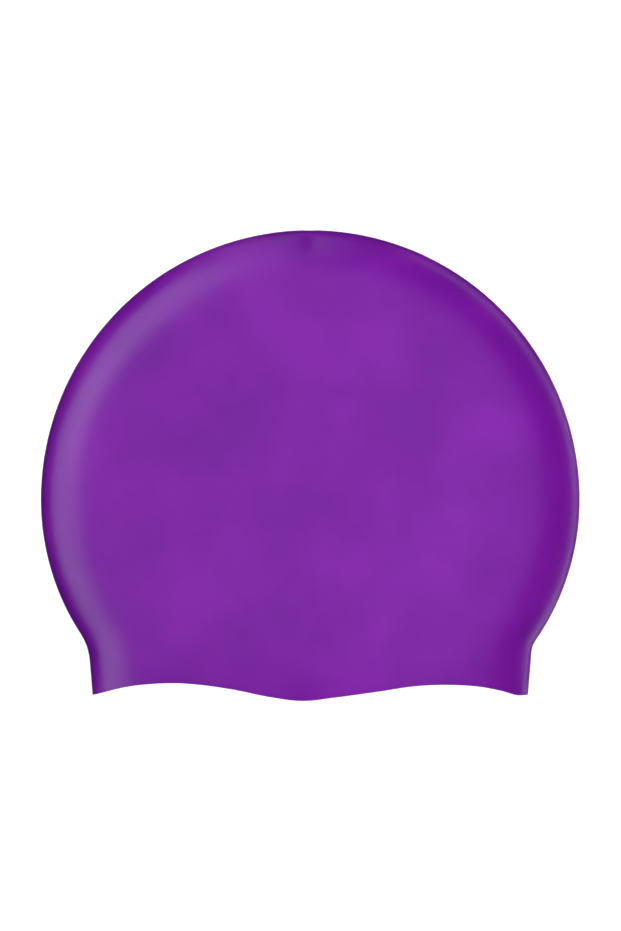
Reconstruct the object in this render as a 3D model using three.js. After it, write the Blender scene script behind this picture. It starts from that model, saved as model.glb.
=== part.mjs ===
// A one-piece moulded silicone swim cap, lying on one of its two flat faces.
// X runs across the face, Y from the mouth up to the crown, and Z up from the surface that it lies on.
// The origin is on that surface, under the middle of the cap. Sizes are in millimetres.
import * as THREE from "three";

// Outline of the face, with heights measured from the widest line of the dome
const capWidth = 220; // across the dome at its widest
const crownRise = 110; // up to the crown
const neckDrop = 59.7; // down to the neck, where the dome turns into the skirt
const neckInset = 19.5; // how far each neck corner lies in from the widest point
const skirtTaper = 1.7; // how much further in the skirt ends at the hem
const skirtDrop = 22.3; // from the neck down to the tips of the ear lobes
const hemWave = 7.5; // height of the wave that the hem follows
const neckBlendLeft = 6; // how far the left neck corner is eased along both of its sides
const neckBlendRight = 2.5; // the same at the right, where the corner is sharper

// Depth of the cap as it lies
const capDepth = 30; // over the dome
const mouthDepth = 26.5; // over the skirt, at the hem
const skirtEase = 34; // length over which the depth rolls off from the dome's to the skirt's
const wallThickness = 1;
const rimReach = 23; // how far the rounded rim reaches in from the outline of the dome
const skirtRimReach = 28; // the same at the hem

// Slack of the upper wall, which the rim holds up all round
const faceDish = 2.4; // how far the middle of the face lies below the crest of the rim
const dishReach = 50; // from the crest to the floor of that dish
const mouthSag = 0.5; // how far the hem of the upper wall droops between the two rims
const mouthSagReach = 62; // half the width of the droop
const mouthSagRise = 26; // how far up the face it runs
const dentDepth = 0.6; // deepest of the soft dents in the face

// Fineness of the mesh
const columns = 80; // round the mouth
const crownRows = 17; // from the widest line to the crown
const sideRows = 10; // from the widest line to the neck
const skirtRows = 5; // from the neck to the hem
const outlineSteps = 48; // along each side of the outline

// The hem from the left rim (-1) to the right rim (1). Rise is a share of hemWave above the lobe's tip.
const hemTurns = [
  { across: -1.0, rise: 0.28 },
  { across: -0.86, rise: 0.73 },
  { across: -0.76, rise: 0.92 },
  { across: -0.62, rise: 1.0 },
  { across: -0.49, rise: 0.89 },
  { across: -0.34, rise: 0.61 },
  { across: -0.19, rise: 0.23 },
  { across: -0.03, rise: 0.0 },
  { across: 0.1, rise: 0.17 },
  { across: 0.32, rise: 0.54 },
  { across: 0.47, rise: 0.82 },
  { across: 0.61, rise: 0.91 },
  { across: 0.76, rise: 0.82 },
  { across: 0.87, rise: 0.57 },
  { across: 0.95, rise: 0.29 },
  { across: 1.0, rise: 0.28 },
];

// Soft dents and swells of the upper wall. Places and reach are shares of half the cap's width, with up counted
// from the widest line, and depth is a share of dentDepth. A swell has a depth below nought.
const dents = [
  { across: -0.66, up: 0.24, reach: 0.24, depth: 0.7 },
  { across: 0.18, up: 0.31, reach: 0.22, depth: 1.0 },
  { across: 0.39, up: 0.0, reach: 0.2, depth: 0.6 },
  { across: -0.4, up: 0.08, reach: 0.22, depth: 0.5 },
  { across: 0.6, up: 0.3, reach: 0.24, depth: -0.7 },
  { across: 0.08, up: 0.12, reach: 0.2, depth: -0.6 },
  { across: 0.62, up: -0.2, reach: 0.24, depth: -0.6 },
];

const halfWidth = capWidth / 2;
const neckHalf = halfWidth - neckInset;
const mouthHalf = neckHalf - skirtTaper;
const lobeDrop = neckDrop + skirtDrop;
const middleUp = (crownRise - lobeDrop) / 2; // middle of the cap above its widest line

// 0 below nought, 1 above one, and a smooth step between
function ease(share) {
  return THREE.MathUtils.smoothstep(share, 0, 1);
}

// How far a form that starts this length above the tips of the ear lobes has rolled off at a height, from 0 to 1
function rollOff(up, length) {
  return THREE.MathUtils.clamp((length - lobeDrop - up) / length, 0, 1) ** 2;
}

// A smooth bump of height 1 that fades out at about twice its reach
function bump(distance, reach) {
  return Math.exp(-((distance / reach) ** 2));
}

// Rise of the hem at a place across it, on a smooth curve through hemTurns that makes no turns of its own
function hemRise(across) {
  const slopes = hemTurns.map((turn, i) => {
    const before = hemTurns[i - 1] ?? turn;
    const after = hemTurns[i + 1] ?? turn;
    const isTip = (turn.rise - before.rise) * (after.rise - turn.rise) <= 0 && before !== turn && after !== turn;
    return isTip ? 0 : (after.rise - before.rise) / (after.across - before.across);
  });
  const found = hemTurns.findIndex((turn) => turn.across >= across);
  const i = Math.max(1, found < 0 ? hemTurns.length - 1 : found);
  const from = hemTurns[i - 1];
  const to = hemTurns[i];
  const gap = to.across - from.across;
  const t = THREE.MathUtils.clamp((across - from.across) / gap, 0, 1);
  const start = from.rise * (1 + 2 * t) * (1 - t) ** 2 + slopes[i - 1] * gap * t * (1 - t) ** 2;
  const end = to.rise * (3 - 2 * t) * t ** 2 - slopes[i] * gap * (1 - t) * t ** 2;
  return start + end;
}

// One side of the outline, as short stretches from the crown down past the hem, for x of 0 or more
function outlineSide(neckBlend) {
  const sideRadius = (neckInset ** 2 + neckDrop ** 2) / (2 * neckInset);
  const neckTurn = Math.asin(neckDrop / sideRadius);
  const blendTurn = neckBlend / sideRadius;
  const skirtLean = new THREE.Vector2(-skirtTaper, -skirtDrop).normalize();
  const corner = new THREE.Vector2(neckHalf, -neckDrop);
  const eased = corner.clone().addScaledVector(skirtLean, neckBlend);
  const end = corner.clone().addScaledVector(skirtLean, skirtDrop + skirtRimReach);
  const side = new THREE.Path();
  side.absellipse(0, 0, halfWidth, crownRise, Math.PI / 2, 0, true, 0);
  side.absarc(halfWidth - sideRadius, 0, sideRadius, 0, blendTurn - neckTurn, true);
  side.quadraticCurveTo(corner.x, corner.y, eased.x, eased.y);
  side.lineTo(end.x, end.y);
  const points = side.getPoints(outlineSteps).map((point) => new THREE.Vector3(point.x, point.y, 0));
  return points.slice(1).map((point, i) => new THREE.Line3(points[i], point));
}

const sides = { left: outlineSide(neckBlendLeft), right: outlineSide(neckBlendRight) };

// Half width of the outline on one side, at a height
function reachAt(side, up) {
  const { start, end } = side.find((stretch) => stretch.end.y <= up);
  return THREE.MathUtils.mapLinear(up, start.y, end.y, start.x, end.x);
}

// Shortest way from a point of the face to the outline, the hem left out
function distanceToRim(x, up) {
  const place = new THREE.Vector3(Math.abs(x), up, 0);
  const side = x < 0 ? sides.left : sides.right;
  const nearest = new THREE.Vector3();
  const distances = side.map((stretch) => {
    return stretch.closestPointToPoint(place, true, nearest).distanceTo(place);
  });
  return Math.min(...distances);
}

// How far the upper wall hangs below the crest of its rim
function slack(x, up, inward) {
  const dish = faceDish * ease(inward / dishReach);
  const sag = mouthSag * bump(x, mouthSagReach) * rollOff(up, mouthSagRise);
  const hollows = dents.map((dent) => {
    const away = Math.hypot(x - dent.across * halfWidth, up - dent.up * halfWidth);
    return dent.depth * dentDepth * bump(away, dent.reach * halfWidth);
  });
  return dish + hollows.reduce((sum, hollow) => sum + hollow, sag);
}

// Height of the outer surface over the table, for the upper wall or the lower one
function heightAt(x, up, isUpper) {
  const skirtShare = rollOff(up, skirtEase);
  const depth = THREE.MathUtils.lerp(capDepth, mouthDepth, skirtShare);
  const reach = THREE.MathUtils.lerp(rimReach, skirtRimReach, skirtShare);
  const fromRim = distanceToRim(x, up);
  const toCrest = Math.min(fromRim / reach, 1);
  const swell = Math.sqrt(1 - (1 - toCrest) ** 2);
  if (!isUpper) return (depth / 2) * (1 - swell);
  return (depth / 2) * (1 + swell) - slack(x, up, fromRim - reach) * toCrest;
}

// Heights of the rows from the hem up to the last one before the crown. A skirt row follows the hem in part.
function rowHeights() {
  const skirt = Array.from({ length: skirtRows }, (_, i) => (across) => {
    const hem = hemWave * hemRise(across) - lobeDrop;
    return THREE.MathUtils.lerp(hem, -neckDrop, i / skirtRows);
  });
  const dome = Array.from({ length: sideRows }, (_, i) => () => -neckDrop * (1 - i / sideRows));
  const crown = Array.from({ length: crownRows }, (_, i) => () => {
    return crownRise * Math.sin((Math.PI / 2) * (i / crownRows));
  });
  return [...skirt, ...dome, ...crown];
}

// The outer surface: closed rings from the hem up, and the crown as a single point
function outerSurface() {
  const rows = rowHeights();
  const points = [];
  for (const row of rows) {
    for (let i = 0; i < columns; i++) {
      const turn = (2 * Math.PI * i) / columns;
      const across = Math.cos(turn);
      const up = row(across);
      const x = across * reachAt(across < 0 ? sides.left : sides.right, up);
      points.push(new THREE.Vector3(x, up, heightAt(x, up, turn <= Math.PI)));
    }
  }
  points.push(new THREE.Vector3(0, crownRise, capDepth / 2));
  const faces = [];
  const crown = points.length - 1;
  for (let row = 0; row < rows.length; row++) {
    for (let i = 0; i < columns; i++) {
      const here = row * columns + i;
      const beside = row * columns + ((i + 1) % columns);
      if (row === rows.length - 1) {
        faces.push(here, crown, beside);
      } else {
        faces.push(here, here + columns, beside + columns, here, beside + columns, beside);
      }
    }
  }
  const geometry = new THREE.BufferGeometry().setFromPoints(points).setIndex(faces);
  geometry.computeVertexNormals();
  return geometry;
}

// The whole cap: the outer surface, the inner one a wall inside it, and the edge of the hem between them
function capGeometry() {
  const outer = outerSurface();
  const place = outer.getAttribute("position");
  const normal = outer.getAttribute("normal");
  const outerPoints = [];
  const innerPoints = [];
  for (let i = 0; i < place.count; i++) {
    const point = new THREE.Vector3().fromBufferAttribute(place, i);
    const inward = new THREE.Vector3().fromBufferAttribute(normal, i).multiplyScalar(-wallThickness);
    outerPoints.push(point);
    innerPoints.push(point.clone().add(inward));
  }
  const faces = Array.from(outer.getIndex().array);
  const innerFaces = faces.map((_, i) => faces[i - (i % 3) + [0, 2, 1][i % 3]] + place.count);
  const hem = [];
  for (let i = 0; i < columns; i++) {
    const beside = (i + 1) % columns;
    hem.push(i, beside, beside + place.count, i, beside + place.count, i + place.count);
  }
  return new THREE.BufferGeometry()
    .setFromPoints([...outerPoints, ...innerPoints])
    .setIndex([...faces, ...innerFaces, ...hem]);
}

function makeCapShell() {
  const silicone = new THREE.MeshStandardMaterial({ color: 0x7c16ab, roughness: 0.5, metalness: 0 });
  const shell = new THREE.Mesh(capGeometry(), silicone);
  shell.name = "cap_shell";
  shell.position.y = -middleUp;
  return shell;
}

const swimCap = new THREE.Group();
swimCap.name = "swim_cap";
swimCap.add(makeCapShell());

export default swimCap;
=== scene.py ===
"""A moulded silicone swim cap that lies on one of its faces, on a pale floor under soft studio light."""
import math
import bmesh
import bpy
import numpy as np
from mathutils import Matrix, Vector, noise


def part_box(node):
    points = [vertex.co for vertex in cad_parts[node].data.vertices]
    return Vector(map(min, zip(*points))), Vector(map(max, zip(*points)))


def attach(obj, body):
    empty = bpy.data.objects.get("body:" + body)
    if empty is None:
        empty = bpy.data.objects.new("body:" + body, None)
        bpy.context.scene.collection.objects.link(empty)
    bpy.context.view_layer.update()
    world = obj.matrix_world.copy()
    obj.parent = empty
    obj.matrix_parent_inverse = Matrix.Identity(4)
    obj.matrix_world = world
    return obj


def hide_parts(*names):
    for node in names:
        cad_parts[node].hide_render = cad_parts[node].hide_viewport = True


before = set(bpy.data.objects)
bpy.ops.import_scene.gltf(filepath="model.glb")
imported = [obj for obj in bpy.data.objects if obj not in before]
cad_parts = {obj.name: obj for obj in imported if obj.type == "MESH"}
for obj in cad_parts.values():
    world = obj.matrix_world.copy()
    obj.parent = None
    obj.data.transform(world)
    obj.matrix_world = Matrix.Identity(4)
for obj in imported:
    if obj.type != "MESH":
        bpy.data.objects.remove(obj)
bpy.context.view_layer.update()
shell_low, shell_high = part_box("cap_shell")

bl_info = {
    "name": "Swim Cap",
    "version": (1, 0, 0),
    "blender": (4, 5, 0),
    "location": "3D View > Sidebar > Swim Cap",
    "description": "Makes a moulded silicone swim cap lying on its side, with its floor, lights and camera",
    "category": "Add Mesh",
}

MM = 0.001

# Fineness of the mesh: rows from the hem up, turns of the places round a section in degrees, with a few more
# turns near both ends, and the step along the outline
SKIRT_ROWS = 16
SIDE_ROWS = 26
CROWN_ROWS = 56
TURN_STEP = 1.875
FINE_TURNS = (0.25, 0.6, 1.1)
OUTLINE_STEP = 0.4 * MM

# Only the hem's edges are sharper than the first angle. Their round is this share of the wall, and shading is
# smooth up to the last angle.
HEM_ANGLE = math.radians(60)
HEM_ROUND = 0.36
SMOOTH_ANGLE = math.radians(50)

# The hem of the mouth, from the left rim (-1) to the right rim (1). Rise is a share of the hem's wave.
HEM_TURNS = {
    "across": (-1.0, -0.86, -0.76, -0.62, -0.49, -0.34, -0.19, -0.03,
               0.1, 0.32, 0.47, 0.61, 0.76, 0.87, 0.95, 1.0),
    "rise": (0.28, 0.73, 0.92, 1.0, 0.89, 0.61, 0.23, 0.0,
             0.17, 0.54, 0.82, 0.91, 0.82, 0.57, 0.29, 0.28),
}

# Soft dents and swells of the upper wall. Places and reach are shares of half the cap's width, with up
# counted from the widest line, and depth is a share of the deepest dent. A swell has a depth below nought.
DENTS = (
    {"across": -0.66, "up": 0.24, "reach": 0.24, "depth": 0.7},
    {"across": 0.18, "up": 0.31, "reach": 0.22, "depth": 1.0},
    {"across": 0.39, "up": 0.0, "reach": 0.2, "depth": 0.6},
    {"across": -0.4, "up": 0.08, "reach": 0.22, "depth": 0.5},
    {"across": 0.6, "up": 0.3, "reach": 0.24, "depth": -0.7},
    {"across": 0.08, "up": 0.12, "reach": 0.2, "depth": -0.6},
    {"across": 0.62, "up": -0.2, "reach": 0.24, "depth": -0.6},
)

# Shallow flutes that the moulded skirt keeps where it runs out to the hem, with places as in DENTS
FLUTES = (
    {"across": -0.115, "reach": 0.075, "depth": -0.8},
    {"across": 0.005, "reach": 0.06, "depth": 1.0},
    {"across": 0.2, "reach": 0.07, "depth": -0.9},
    {"across": 0.34, "reach": 0.055, "depth": 1.0},
    {"across": 0.47, "reach": 0.07, "depth": -0.8},
)

# Faint ripples of the upper wall: how wide and how high they are. The shift keeps the two from lining up.
BROAD_RIPPLE = {"wide": 42 * MM, "high": 0.3 * MM}
CLOSE_RIPPLE = {"wide": 17 * MM, "high": 0.06 * MM}
RIPPLE_SHIFT = Vector((7, 3, 1))

# The small dip at the crown: its place from the middle and below the crown, and its reach both ways
DIP_ACROSS = 1.1 * MM
DIP_BELOW = 4.6 * MM
DIP_REACH = 4.6 * MM
DIP_RISE = 3.8 * MM

# Half the width of the fine line where the mould's halves met
MOULD_LINE_REACH = 0.35 * MM

# Softboxes round the cap. Azimuth is counted from the right and polar from straight overhead, in degrees.
# Wide runs round the cap and tall runs from the horizon up, in metres. Each lights either the colour, as
# diffuse, or the sheen, as glossy.
SOFTBOXES = (
    {"name": "overhead", "azimuth": 0, "polar": 0, "away": 1.3,
     "wide": 3.0, "tall": 3.0, "power": 3.0, "sees": "diffuse"},
    {"name": "top", "azimuth": 90, "polar": 60, "away": 1.0,
     "wide": 0.7, "tall": 0.7, "power": 6.2, "sees": "diffuse"},
    {"name": "left", "azimuth": 180, "polar": 72, "away": 2.0,
     "wide": 1.4, "tall": 1.4, "power": 19, "sees": "diffuse"},
    {"name": "front", "azimuth": 270, "polar": 60, "away": 1.0,
     "wide": 0.7, "tall": 0.7, "power": 4.1, "sees": "diffuse"},
    {"name": "close_above", "azimuth": 0, "polar": 11, "away": 0.42,
     "wide": 0.3, "tall": 0.3, "power": 1.1, "sees": "diffuse"},
    {"name": "low_right", "azimuth": 0, "polar": 120, "away": 1.0,
     "wide": 0.8, "tall": 0.5, "power": 8, "sees": "diffuse"},
    {"name": "face_sheen", "azimuth": 0, "polar": 2, "away": 1.0,
     "wide": 1.15, "tall": 1.15, "power": 2.6, "sees": "glossy"},
    {"name": "upper_left_sheen", "azimuth": 137, "polar": 52, "away": 1.0,
     "wide": 0.74, "tall": 0.82, "power": 4.5, "sees": "glossy"},
    {"name": "left_sheen", "azimuth": 180, "polar": 57, "away": 1.0,
     "wide": 0.8, "tall": 0.95, "power": 4.9, "sees": "glossy"},
    {"name": "lower_left_sheen", "azimuth": 225, "polar": 64, "away": 1.0,
     "wide": 0.78, "tall": 0.7, "power": 3.2, "sees": "glossy"},
    {"name": "top_sheen", "azimuth": 100, "polar": 78, "away": 1.0,
     "wide": 0.6, "tall": 1.3, "power": 1.6, "sees": "glossy"},
    {"name": "upper_right_sheen", "azimuth": 45, "polar": 102, "away": 1.0,
     "wide": 0.78, "tall": 0.45, "power": 0.95, "sees": "glossy"},
    {"name": "right_sheen", "azimuth": 0, "polar": 112, "away": 1.0,
     "wide": 0.78, "tall": 0.6, "power": 1.34, "sees": "glossy"},
    {"name": "lower_right_sheen", "azimuth": 315, "polar": 113, "away": 1.0,
     "wide": 0.78, "tall": 0.55, "power": 1.87, "sees": "glossy"},
)

# The floor's side in metres, the strength of the light on the floor alone, and the surround's brightness
FLOOR_SIZE = 12
FLOOR_WASH = 2.6
SURROUND = 0.9

# The camera's place, straight above the middle of the cap's depth
CAP_MIDDLE = 15 * MM
CAMERA_X = 0.1 * MM
CAMERA_Y = -0.1 * MM
CAMERA_AWAY = 1.5862


def length(name, description, default):
    return bpy.props.FloatProperty(
        name=name, description=description, default=default, min=0, unit="LENGTH")


def share(name, description, default):
    return bpy.props.FloatProperty(
        name=name, description=description, default=default, min=0, max=1, subtype="FACTOR")


def linear(code):
    """Turn an sRGB hex colour into the linear one that shaders use."""
    channels = [int(code[i:i + 2], 16) / 255 for i in (1, 3, 5)]
    return tuple(c / 12.92 if c <= 0.04045 else ((c + 0.055) / 1.055) ** 2.4 for c in channels)


def colour(name, description, code):
    return bpy.props.FloatVectorProperty(
        name=name, description=description, default=linear(code), size=3, min=0, max=1, subtype="COLOR")


class SwimCapSizes(bpy.types.PropertyGroup):
    """Sizes of the cap as it lies, with its face seen from above"""
    width: length("Width", "Across the dome at its widest line", shell_high[0] - shell_low[0])
    crown_rise: length("Crown rise", "From the widest line up to the crown", 110 * MM)
    neck_drop: length("Neck drop", "From the widest line down to the neck", 59.7 * MM)
    neck_inset: length("Neck inset", "How far each neck corner lies in from the widest point", 19.5 * MM)
    skirt_drop: length("Skirt drop", "From the neck down to the tips of the ear lobes", 22.3 * MM)
    skirt_taper: length("Skirt taper", "How much further in the skirt ends at the hem", 1.7 * MM)
    hem_wave: length("Hem wave", "Height of the wave that the hem follows", 7.5 * MM)
    left_ease: length("Left neck ease", "How far the left neck corner is eased to each side", 6 * MM)
    right_ease: length("Right neck ease", "How far the right neck corner is eased to each side", 2.5 * MM)
    depth: length("Depth", "Depth of the dome as it lies", 30 * MM)
    mouth_depth: length("Mouth depth", "Depth of the skirt at the hem", 26.5 * MM)
    skirt_ease: length("Skirt ease", "Length over which the depth rolls off into the skirt's", 34 * MM)
    rim_reach: length("Rim reach", "How far the rounded rim reaches in from the outline", 23 * MM)
    skirt_rim_reach: length("Skirt rim reach", "The same at the hem", 28 * MM)
    wall: length("Wall", "Thickness of the silicone", 0.9 * MM)
    face_dish: length("Face dish", "How far the face hangs below the crest of its rim", 2.4 * MM)
    dish_reach: length("Dish reach", "From the crest to the floor of the dish", 50 * MM)
    mouth_sag: length("Mouth sag", "How far the upper hem droops between its two rims", 0.5 * MM)
    mouth_sag_reach: length("Mouth sag reach", "Half the width of the droop", 62 * MM)
    mouth_sag_rise: length("Mouth sag rise", "How far up the face the droop runs", 26 * MM)
    dent_depth: length("Dent depth", "Deepest of the soft dents in the face", 0.9 * MM)
    flute_depth: length("Flute depth", "Deepest of the flutes at the hem", 0.3 * MM)
    flute_rise: length("Flute rise", "How far up the face the flutes run", 30 * MM)
    crown_dip: length("Crown dip", "Depth of the small dip where the crown's rim is folded", 3.4 * MM)
    mould_line: length("Mould line", "Height of the fine line where the mould's halves met", 0.16 * MM)


class SwimCapFinish(bpy.types.PropertyGroup):
    """Colours and surface of the cap"""
    silicone: colour("Silicone", "Colour of the silicone rubber", "#6B0F92")
    bloom: colour("Bloom", "Colour where a dry bloom lightens the silicone", "#79169E")
    floor: colour("Floor", "Colour of the floor", "#F4F4F4")
    roughness: share("Roughness", "Roughness of the satin mould finish", 0.34)
    grain: length("Grain", "Size of the fine mould grain", 0.9 * MM)
    mottle: length("Mottle", "Size of the soft clouds in the colour", 34 * MM)


class Outline:
    """One side of the cap's outline, from the crown down past the hem, as x of 0 or more against up."""

    def __init__(self, sizes, corner_ease):
        step = OUTLINE_STEP
        half = sizes.width / 2
        radius = (sizes.neck_inset ** 2 + sizes.neck_drop ** 2) / (2 * sizes.neck_inset)
        neck_turn = math.asin(sizes.neck_drop / radius)
        turns = np.linspace(math.pi / 2, 0, int(half * math.pi / 2 / step), endpoint=False)
        dome = np.column_stack((half * np.cos(turns), sizes.crown_rise * np.sin(turns)))
        turns = np.linspace(0, -neck_turn, int(radius * neck_turn / step), endpoint=False)
        side = np.column_stack((half - radius + radius * np.cos(turns), radius * np.sin(turns)))
        neck = np.array((half - sizes.neck_inset, -sizes.neck_drop))
        lean = np.array((-sizes.skirt_taper, -sizes.skirt_drop))
        lean /= np.linalg.norm(lean)
        below = sizes.skirt_drop + 2 * sizes.skirt_rim_reach
        skirt = neck + np.arange(0, below, step)[:, None] * lean
        line = np.concatenate((dome, side, skirt))
        self.points = self.eased(line, corner_ease, step, below)
        self.spans = np.diff(self.points, axis=0)

    @staticmethod
    def eased(line, corner_ease, step, below):
        """Round the neck corner with a moving mean as wide as its ease, and leave the rest as it is."""
        reach = max(1, round(corner_ease / step))
        padded = np.pad(line, ((reach, reach), (0, 0)), mode="edge")
        window = np.ones(2 * reach + 1) / (2 * reach + 1)
        mean = np.column_stack([np.convolve(padded[:, axis], window, mode="valid") for axis in (0, 1)])
        corner = len(line) - round(below / step)
        away = np.abs(np.arange(len(line)) - corner) / (3 * reach)
        weight = np.clip(2 - 2 * away, 0, 1)[:, None]
        return line * (1 - weight) + mean * weight

    def half_width(self, up):
        """Half width of the cap on this side at a height."""
        return np.interp(-up, -self.points[:, 1], self.points[:, 0])

    def nearest(self, x, up):
        """Distance to the outline, and the way out to it, for points at x of 0 or more."""
        offset = np.stack((x, up), axis=-1)[:, None, :] - self.points[None, :-1, :]
        along = (offset * self.spans).sum(axis=-1) / (self.spans ** 2).sum(axis=-1)
        gap = offset - np.clip(along, 0, 1)[..., None] * self.spans
        distance = np.linalg.norm(gap, axis=-1)
        span = self.spans[distance.argmin(axis=1)]
        out = np.stack((-span[:, 1], span[:, 0]), axis=-1)
        return distance.min(axis=1), out / np.linalg.norm(out, axis=1)[:, None]


def ease(value):
    """0 below nought, 1 above one, and a smooth step between."""
    value = np.clip(value, 0, 1)
    return value * value * (3 - 2 * value)


def bump(distance, reach):
    """A smooth bump of height 1 that fades out at about twice its reach."""
    return np.exp(-(distance / reach) ** 2)


def smooth_curve(places, heights, at):
    """A curve through all heights that makes no turns of its own."""
    slopes = np.zeros(len(places))
    steps = np.diff(heights) / np.diff(places)
    rising = steps[:-1] * steps[1:] > 0
    middle = (heights[2:] - heights[:-2]) / (places[2:] - places[:-2])
    slopes[1:-1] = np.where(rising, middle, 0)
    slopes[0] = steps[0]
    slopes[-1] = steps[-1]
    i = np.clip(np.searchsorted(places, at) - 1, 0, len(places) - 2)
    gap = places[i + 1] - places[i]
    t = np.clip((at - places[i]) / gap, 0, 1)
    start = heights[i] * (1 + 2 * t) * (1 - t) ** 2 + slopes[i] * gap * t * (1 - t) ** 2
    end = heights[i + 1] * (3 - 2 * t) * t ** 2 - slopes[i + 1] * gap * (1 - t) * t ** 2
    return start + end


class CapForm:
    """The outer surface of the cap, as closed sections from the hem up to the crown."""

    def __init__(self, sizes):
        self.sizes = sizes
        self.left = Outline(sizes, sizes.left_ease)
        self.right = Outline(sizes, sizes.right_ease)
        self.lobe_drop = sizes.neck_drop + sizes.skirt_drop
        self.widest_y = shell_high[1] - sizes.crown_rise
        even = np.radians(np.arange(0, 180, TURN_STEP))
        fine = np.radians(FINE_TURNS)
        half_turn = np.sort(np.concatenate((even, fine, math.pi - fine)))
        self.turns = np.concatenate((half_turn, half_turn + math.pi))

    def rows(self):
        """Height of each section at each turn, from the hem up. The skirt's rows follow the hem in part."""
        sizes = self.sizes
        across = np.cos(self.turns)
        turns = [np.array(HEM_TURNS[key]) for key in ("across", "rise")]
        hem = sizes.hem_wave * smooth_curve(*turns, across) - self.lobe_drop
        steps = np.linspace(0, 1, SKIRT_ROWS, endpoint=False)
        skirt = [hem + (-sizes.neck_drop - hem) * t for t in steps]
        steps = np.linspace(0, 1, SIDE_ROWS, endpoint=False)
        side = [np.full_like(across, -sizes.neck_drop * (1 - t)) for t in steps]
        angles = np.linspace(0, math.pi / 2, CROWN_ROWS, endpoint=False)
        crown = [np.full_like(across, sizes.crown_rise * math.sin(angle)) for angle in angles]
        return skirt + side + crown

    def section(self, up):
        """Points of one section, one for each turn."""
        across = np.cos(self.turns)
        is_left = across < 0
        x = across * np.where(is_left, self.left.half_width(up), self.right.half_width(up))
        distance, out = self.right.nearest(np.abs(x), up)
        left_distance, left_out = self.left.nearest(np.abs(x), up)
        distance = np.where(is_left, left_distance, distance)
        out = np.where(is_left[:, None], left_out * (-1, 1), out)
        is_upper = self.turns < math.pi
        z = np.where(is_upper, self.upper(x, up, distance), self.lower(x, up, distance))
        middle = self.depth_at(up) / 2
        line = self.sizes.mould_line * bump(z - middle, MOULD_LINE_REACH)
        return np.column_stack((x + line * out[:, 0], up + line * out[:, 1] + self.widest_y, z))

    def roll_off(self, up, run):
        """How far a form that starts this run above the tips of the ear lobes has rolled off, from 0 to 1."""
        return np.clip((run - self.lobe_drop - up) / run, 0, 1) ** 2

    def skirt_share(self, up):
        return self.roll_off(up, self.sizes.skirt_ease)

    def depth_at(self, up):
        change = self.sizes.mouth_depth - self.sizes.depth
        return self.sizes.depth + change * self.skirt_share(up)

    def reach_at(self, up):
        change = self.sizes.skirt_rim_reach - self.sizes.rim_reach
        return self.sizes.rim_reach + change * self.skirt_share(up)

    def swell(self, up, distance):
        """Share of half the depth that the wall has gained at a distance in from the outline."""
        to_crest = np.clip(distance / self.reach_at(up), 0, 1)
        return np.sqrt(1 - (1 - to_crest) ** 2), to_crest

    def lower(self, x, up, distance):
        swell, _ = self.swell(up, distance)
        return self.depth_at(up) / 2 * (1 - swell)

    def upper(self, x, up, distance):
        swell, to_crest = self.swell(up, distance)
        slack = self.slack(x, up, distance - self.reach_at(up)) + self.ripple(x, up)
        return self.depth_at(up) / 2 * (1 + swell) - slack * to_crest - self.dip(x, up, to_crest)

    def slack(self, x, up, inward):
        """How far the upper wall hangs below the crest of its rim."""
        sizes = self.sizes
        half = sizes.width / 2
        drop = sizes.face_dish * ease(inward / sizes.dish_reach)
        sagging = bump(x, sizes.mouth_sag_reach) * self.roll_off(up, sizes.mouth_sag_rise)
        drop = drop + sizes.mouth_sag * sagging
        for dent in DENTS:
            away = np.hypot(x - dent["across"] * half, up - dent["up"] * half)
            drop = drop + dent["depth"] * sizes.dent_depth * bump(away, dent["reach"] * half)
        fluted = ease((sizes.flute_rise - self.lobe_drop - up) / sizes.flute_rise)
        for flute in FLUTES:
            away = x - flute["across"] * half
            drop = drop + flute["depth"] * sizes.flute_depth * bump(away, flute["reach"] * half) * fluted
        return drop

    def dip(self, x, up, to_crest):
        """The small dip across the rim at the crown, where the cap is folded when it is packed."""
        below = self.sizes.crown_rise - up
        dipped = bump(x - DIP_ACROSS, DIP_REACH) * bump(below - DIP_BELOW, DIP_RISE)
        return self.sizes.crown_dip * dipped * np.sqrt(to_crest)

    def ripple(self, x, up):
        """Faint unevenness that a thin soft wall has over an open hollow."""
        places = [Vector((px, py, 0)) for px, py in zip(x, up)]
        broad = np.array([noise.noise(place / BROAD_RIPPLE["wide"]) for place in places])
        close = np.array([noise.noise(place / CLOSE_RIPPLE["wide"] + RIPPLE_SHIFT) for place in places])
        return BROAD_RIPPLE["high"] * broad + CLOSE_RIPPLE["high"] * close


def edit(mesh_object):
    """Select one object alone and open it in edit mode."""
    if bpy.context.object and bpy.context.object.mode != "OBJECT":
        bpy.ops.object.mode_set(mode="OBJECT")
    bpy.ops.object.select_all(action="DESELECT")
    mesh_object.select_set(True)
    bpy.context.view_layer.objects.active = mesh_object
    bpy.ops.object.mode_set(mode="EDIT")
    return bmesh.from_edit_mesh(mesh_object.data)


def place_ring(mesh, section):
    """Put each selected vertex on its own point of a section."""
    ring = bmesh.from_edit_mesh(mesh)
    column = ring.verts.layers.int["column"]
    for vert in ring.verts:
        if vert.select:
            vert.co = section[vert[column]]
    bmesh.update_edit_mesh(mesh)


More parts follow.
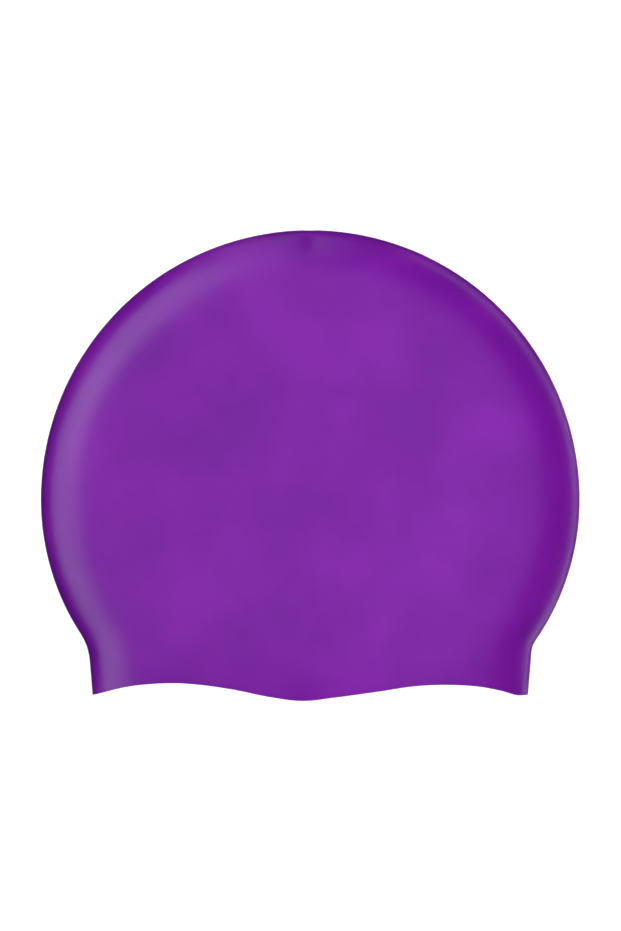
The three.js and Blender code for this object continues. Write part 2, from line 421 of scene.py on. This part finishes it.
def shell_surface(form):
    """The outer surface: a ring at the hem, extruded from section to section and closed at the crown."""
    bpy.ops.object.select_all(action="DESELECT")
    count = len(form.turns)
    bpy.ops.mesh.primitive_circle_add(vertices=count, radius=form.sizes.width / 2)
    shell = bpy.context.object
    shell.name = "silicone_cap"
    ring = edit(shell)
    column = ring.verts.layers.int.new("column")
    ring.verts.ensure_lookup_table()
    ring.verts.sort(key=lambda vert: math.atan2(vert.co.y, vert.co.x) % math.tau)
    for number, vert in enumerate(ring.verts):
        vert[column] = number
    bmesh.update_edit_mesh(shell.data)
    bpy.ops.mesh.select_all(action="SELECT")
    rows = form.rows()
    place_ring(shell.data, form.section(rows[0]))
    for up in rows[1:]:
        bpy.ops.mesh.extrude_edges_move()
        place_ring(shell.data, form.section(up))
    bpy.ops.mesh.extrude_edges_move()
    crown = (0, form.widest_y + form.sizes.crown_rise, form.sizes.depth / 2)
    place_ring(shell.data, [crown] * count)
    bpy.ops.mesh.merge(type="CENTER")
    bpy.ops.mesh.select_all(action="SELECT")
    bpy.ops.mesh.normals_make_consistent(inside=False)
    bpy.ops.object.mode_set(mode="OBJECT")
    return shell


def apply_modifier(piece, kind, **settings):
    modifier = piece.modifiers.new(kind.lower(), kind)
    for key, value in settings.items():
        setattr(modifier, key, value)
    bpy.context.view_layer.objects.active = piece
    bpy.ops.object.modifier_apply(modifier=modifier.name)


def round_hem(shell, wall):
    """Round both edges of the cut hem, the only sharp edges on the shell."""
    edit(shell)
    bpy.ops.mesh.select_all(action="DESELECT")
    bpy.ops.mesh.select_mode(type="EDGE")
    bpy.ops.mesh.edges_select_sharp(sharpness=HEM_ANGLE)
    bpy.ops.mesh.bevel(offset=HEM_ROUND * wall, segments=3, profile=0.5, affect="EDGES")
    bpy.ops.object.mode_set(mode="OBJECT")


def node(tree, kind, inputs=None, **settings):
    """Add a node with its settings, its input values and its links."""
    added = tree.nodes.new(kind)
    for key, value in settings.items():
        setattr(added, key, value)
    for key, value in (inputs or {}).items():
        if isinstance(value, bpy.types.NodeSocket):
            tree.links.new(value, added.inputs[key])
        else:
            added.inputs[key].default_value = value
    return added


def new_material(name):
    material = bpy.data.materials.new(name)
    material.use_nodes = True
    material.node_tree.nodes.clear()
    return material, material.node_tree


def silicone_rubber(finish):
    """Silicone rubber, compression moulded in a blasted steel mould.

    The blasted mould leaves a satin skin: broad soft highlights, deep colour beside them, and a grain that
    only shows as a slight unevenness in the highlight. A dry bloom clouds the colour a little.
    """
    material, tree = new_material("silicone_rubber_satin")
    place = node(tree, "ShaderNodeTexCoord").outputs["Object"]
    clouds = node(tree, "ShaderNodeTexNoise", {"Vector": place, "Scale": 1 / finish.mottle, "Detail": 3.0})
    cloud_share = node(tree, "ShaderNodeMapRange", {
        "Value": clouds.outputs["Fac"], "From Min": 0.35, "From Max": 0.65})
    tint = node(tree, "ShaderNodeMix", {
        "Factor": cloud_share.outputs["Result"],
        "A": (*finish.silicone, 1), "B": (*finish.bloom, 1)}, data_type="RGBA")
    # The real grain is about 0.1 mm, too fine to show, so it is drawn coarser
    grain = node(tree, "ShaderNodeTexNoise", {"Vector": place, "Scale": 1 / finish.grain, "Detail": 2.0})
    rough = node(tree, "ShaderNodeMapRange", {
        "Value": clouds.outputs["Fac"], "From Min": 0.3, "From Max": 0.7,
        "To Min": finish.roughness - 0.02, "To Max": finish.roughness + 0.03})
    relief = node(tree, "ShaderNodeBump", {
        "Height": grain.outputs["Fac"], "Strength": 0.12, "Distance": 0.05 * MM})
    rubber = node(tree, "ShaderNodeBsdfPrincipled", {
        "Base Color": tint.outputs["Result"],
        "Roughness": rough.outputs["Result"],
        "IOR": 1.41,
        "Normal": relief.outputs["Normal"],
    })
    node(tree, "ShaderNodeOutputMaterial", {"Surface": rubber.outputs["BSDF"]})
    return material


def studio_floor(finish):
    """Matt painted board, even and pale, that only shows where the cap stands."""
    material, tree = new_material("matt_painted_board")
    place = node(tree, "ShaderNodeTexCoord").outputs["Object"]
    stipple = node(tree, "ShaderNodeTexNoise", {"Vector": place, "Scale": 1 / (1.2 * MM), "Detail": 2.0})
    relief = node(tree, "ShaderNodeBump", {
        "Height": stipple.outputs["Fac"], "Strength": 0.05, "Distance": 0.05 * MM})
    paint = node(tree, "ShaderNodeBsdfPrincipled", {
        "Base Color": (*finish.floor, 1), "Roughness": 0.85, "Normal": relief.outputs["Normal"]})
    node(tree, "ShaderNodeOutputMaterial", {"Surface": paint.outputs["BSDF"]})
    return material


class SWIMCAP_OT_shell(bpy.types.Operator):
    """Model the cap: one thin wall of silicone with a rounded rim, a short skirt and a wavy hem"""
    bl_idname = "swimcap.shell"
    bl_label = "Cap shell"
    bl_options = {"REGISTER", "UNDO"}

    def execute(self, context):
        sizes = context.scene.swim_cap_sizes
        shell = shell_surface(CapForm(sizes))
        apply_modifier(shell, "SOLIDIFY", thickness=sizes.wall, offset=-1)
        round_hem(shell, sizes.wall)
        bpy.ops.object.shade_smooth_by_angle(angle=SMOOTH_ANGLE)
        shell.data.materials.append(silicone_rubber(context.scene.swim_cap_finish))
        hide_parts("cap_shell")
        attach(shell, "root")
        return {"FINISHED"}


def softbox(name, azimuth, polar, away, wide, tall, power, sees):
    """A rectangular softbox aimed at the cap, which lights its colour or gives its sheen."""
    lamp = bpy.data.lights.new(name, "AREA")
    lamp.shape = "RECTANGLE"
    lamp.size, lamp.size_y = wide, tall
    lamp.energy = power
    lamp.cycles.use_multiple_importance_sampling = False
    box = bpy.data.objects.new(name, lamp)
    bpy.context.scene.collection.objects.link(box)
    round_cap, down = math.radians(azimuth), math.radians(polar)
    way = Vector((math.sin(down) * math.cos(round_cap), math.sin(down) * math.sin(round_cap), math.cos(down)))
    box.location = Vector((0, 0, CAP_MIDDLE)) + away * way
    box.rotation_euler = (-way).to_track_quat("-Z", "Y").to_euler()
    box.visible_camera = False
    box.visible_diffuse = sees == "diffuse"
    box.visible_glossy = sees == "glossy"


def floor_wash(floor, strength):
    """An even light for the floor alone, which keeps it pale round a faint contact shadow."""
    lamp = bpy.data.lights.new("floor_wash", "SUN")
    lamp.energy = strength
    wash = bpy.data.objects.new("floor_wash", lamp)
    bpy.context.scene.collection.objects.link(wash)
    floor_only = bpy.data.collections.new("floor_only")
    floor_only.objects.link(floor)
    wash.light_linking.receiver_collection = floor_only
    wash.light_linking.blocker_collection = floor_only


class SWIMCAP_OT_stage(bpy.types.Operator):
    """Set the floor, the lights and the camera that looks straight down on the face"""
    bl_idname = "swimcap.stage"
    bl_label = "Stage"
    bl_options = {"REGISTER", "UNDO"}

    def execute(self, context):
        scene = context.scene
        bpy.ops.object.select_all(action="DESELECT")
        bpy.ops.mesh.primitive_plane_add(size=FLOOR_SIZE)
        floor = context.object
        floor.name = "studio_floor"
        floor.data.materials.append(studio_floor(scene.swim_cap_finish))
        floor.visible_diffuse = False
        floor.visible_glossy = False
        floor.visible_shadow = False

        # A pale surround behind the floor, which gives no light of its own
        world = bpy.data.worlds.new("pale_surround")
        world.use_nodes = True
        background = world.node_tree.nodes["Background"]
        background.inputs["Color"].default_value = (1, 1, 1, 1)
        background.inputs["Strength"].default_value = SURROUND
        world.cycles_visibility.diffuse = False
        world.cycles_visibility.glossy = False
        scene.world = world

        for box in SOFTBOXES:
            softbox(**box)
        floor_wash(floor, FLOOR_WASH)

        camera = bpy.data.cameras.new("camera")
        camera.lens = 150
        camera.sensor_fit = "VERTICAL"
        camera.sensor_height = 36
        camera.clip_end = 50
        view = bpy.data.objects.new("camera", camera)
        scene.collection.objects.link(view)
        view.location = (CAMERA_X, CAMERA_Y, CAP_MIDDLE + CAMERA_AWAY)
        scene.camera = view
        scene.view_settings.view_transform = "Standard"
        return {"FINISHED"}


class SWIMCAP_PT_panel(bpy.types.Panel):
    """Makes the swim cap and lists its sizes and finish"""
    bl_idname = "SWIMCAP_PT_panel"
    bl_label = "Swim Cap"
    bl_space_type = "VIEW_3D"
    bl_region_type = "UI"
    bl_category = "Swim Cap"

    def draw(self, context):
        column = self.layout.column()
        column.operator("swimcap.shell")
        column.operator("swimcap.stage")
        for group in (context.scene.swim_cap_sizes, context.scene.swim_cap_finish):
            box = self.layout.box()
            for name in group.bl_rna.properties.keys():
                if name not in ("rna_type", "name"):
                    box.prop(group, name)


CLASSES = (SwimCapSizes, SwimCapFinish, SWIMCAP_OT_shell, SWIMCAP_OT_stage, SWIMCAP_PT_panel)


def register():
    for cls in CLASSES:
        bpy.utils.register_class(cls)
    bpy.types.Scene.swim_cap_sizes = bpy.props.PointerProperty(type=SwimCapSizes)
    bpy.types.Scene.swim_cap_finish = bpy.props.PointerProperty(type=SwimCapFinish)


def unregister():
    del bpy.types.Scene.swim_cap_finish
    del bpy.types.Scene.swim_cap_sizes
    for cls in reversed(CLASSES):
        bpy.utils.unregister_class(cls)


def main():
    register()
    bpy.ops.swimcap.shell()
    bpy.ops.swimcap.stage()


if __name__ == "__main__":
    main()
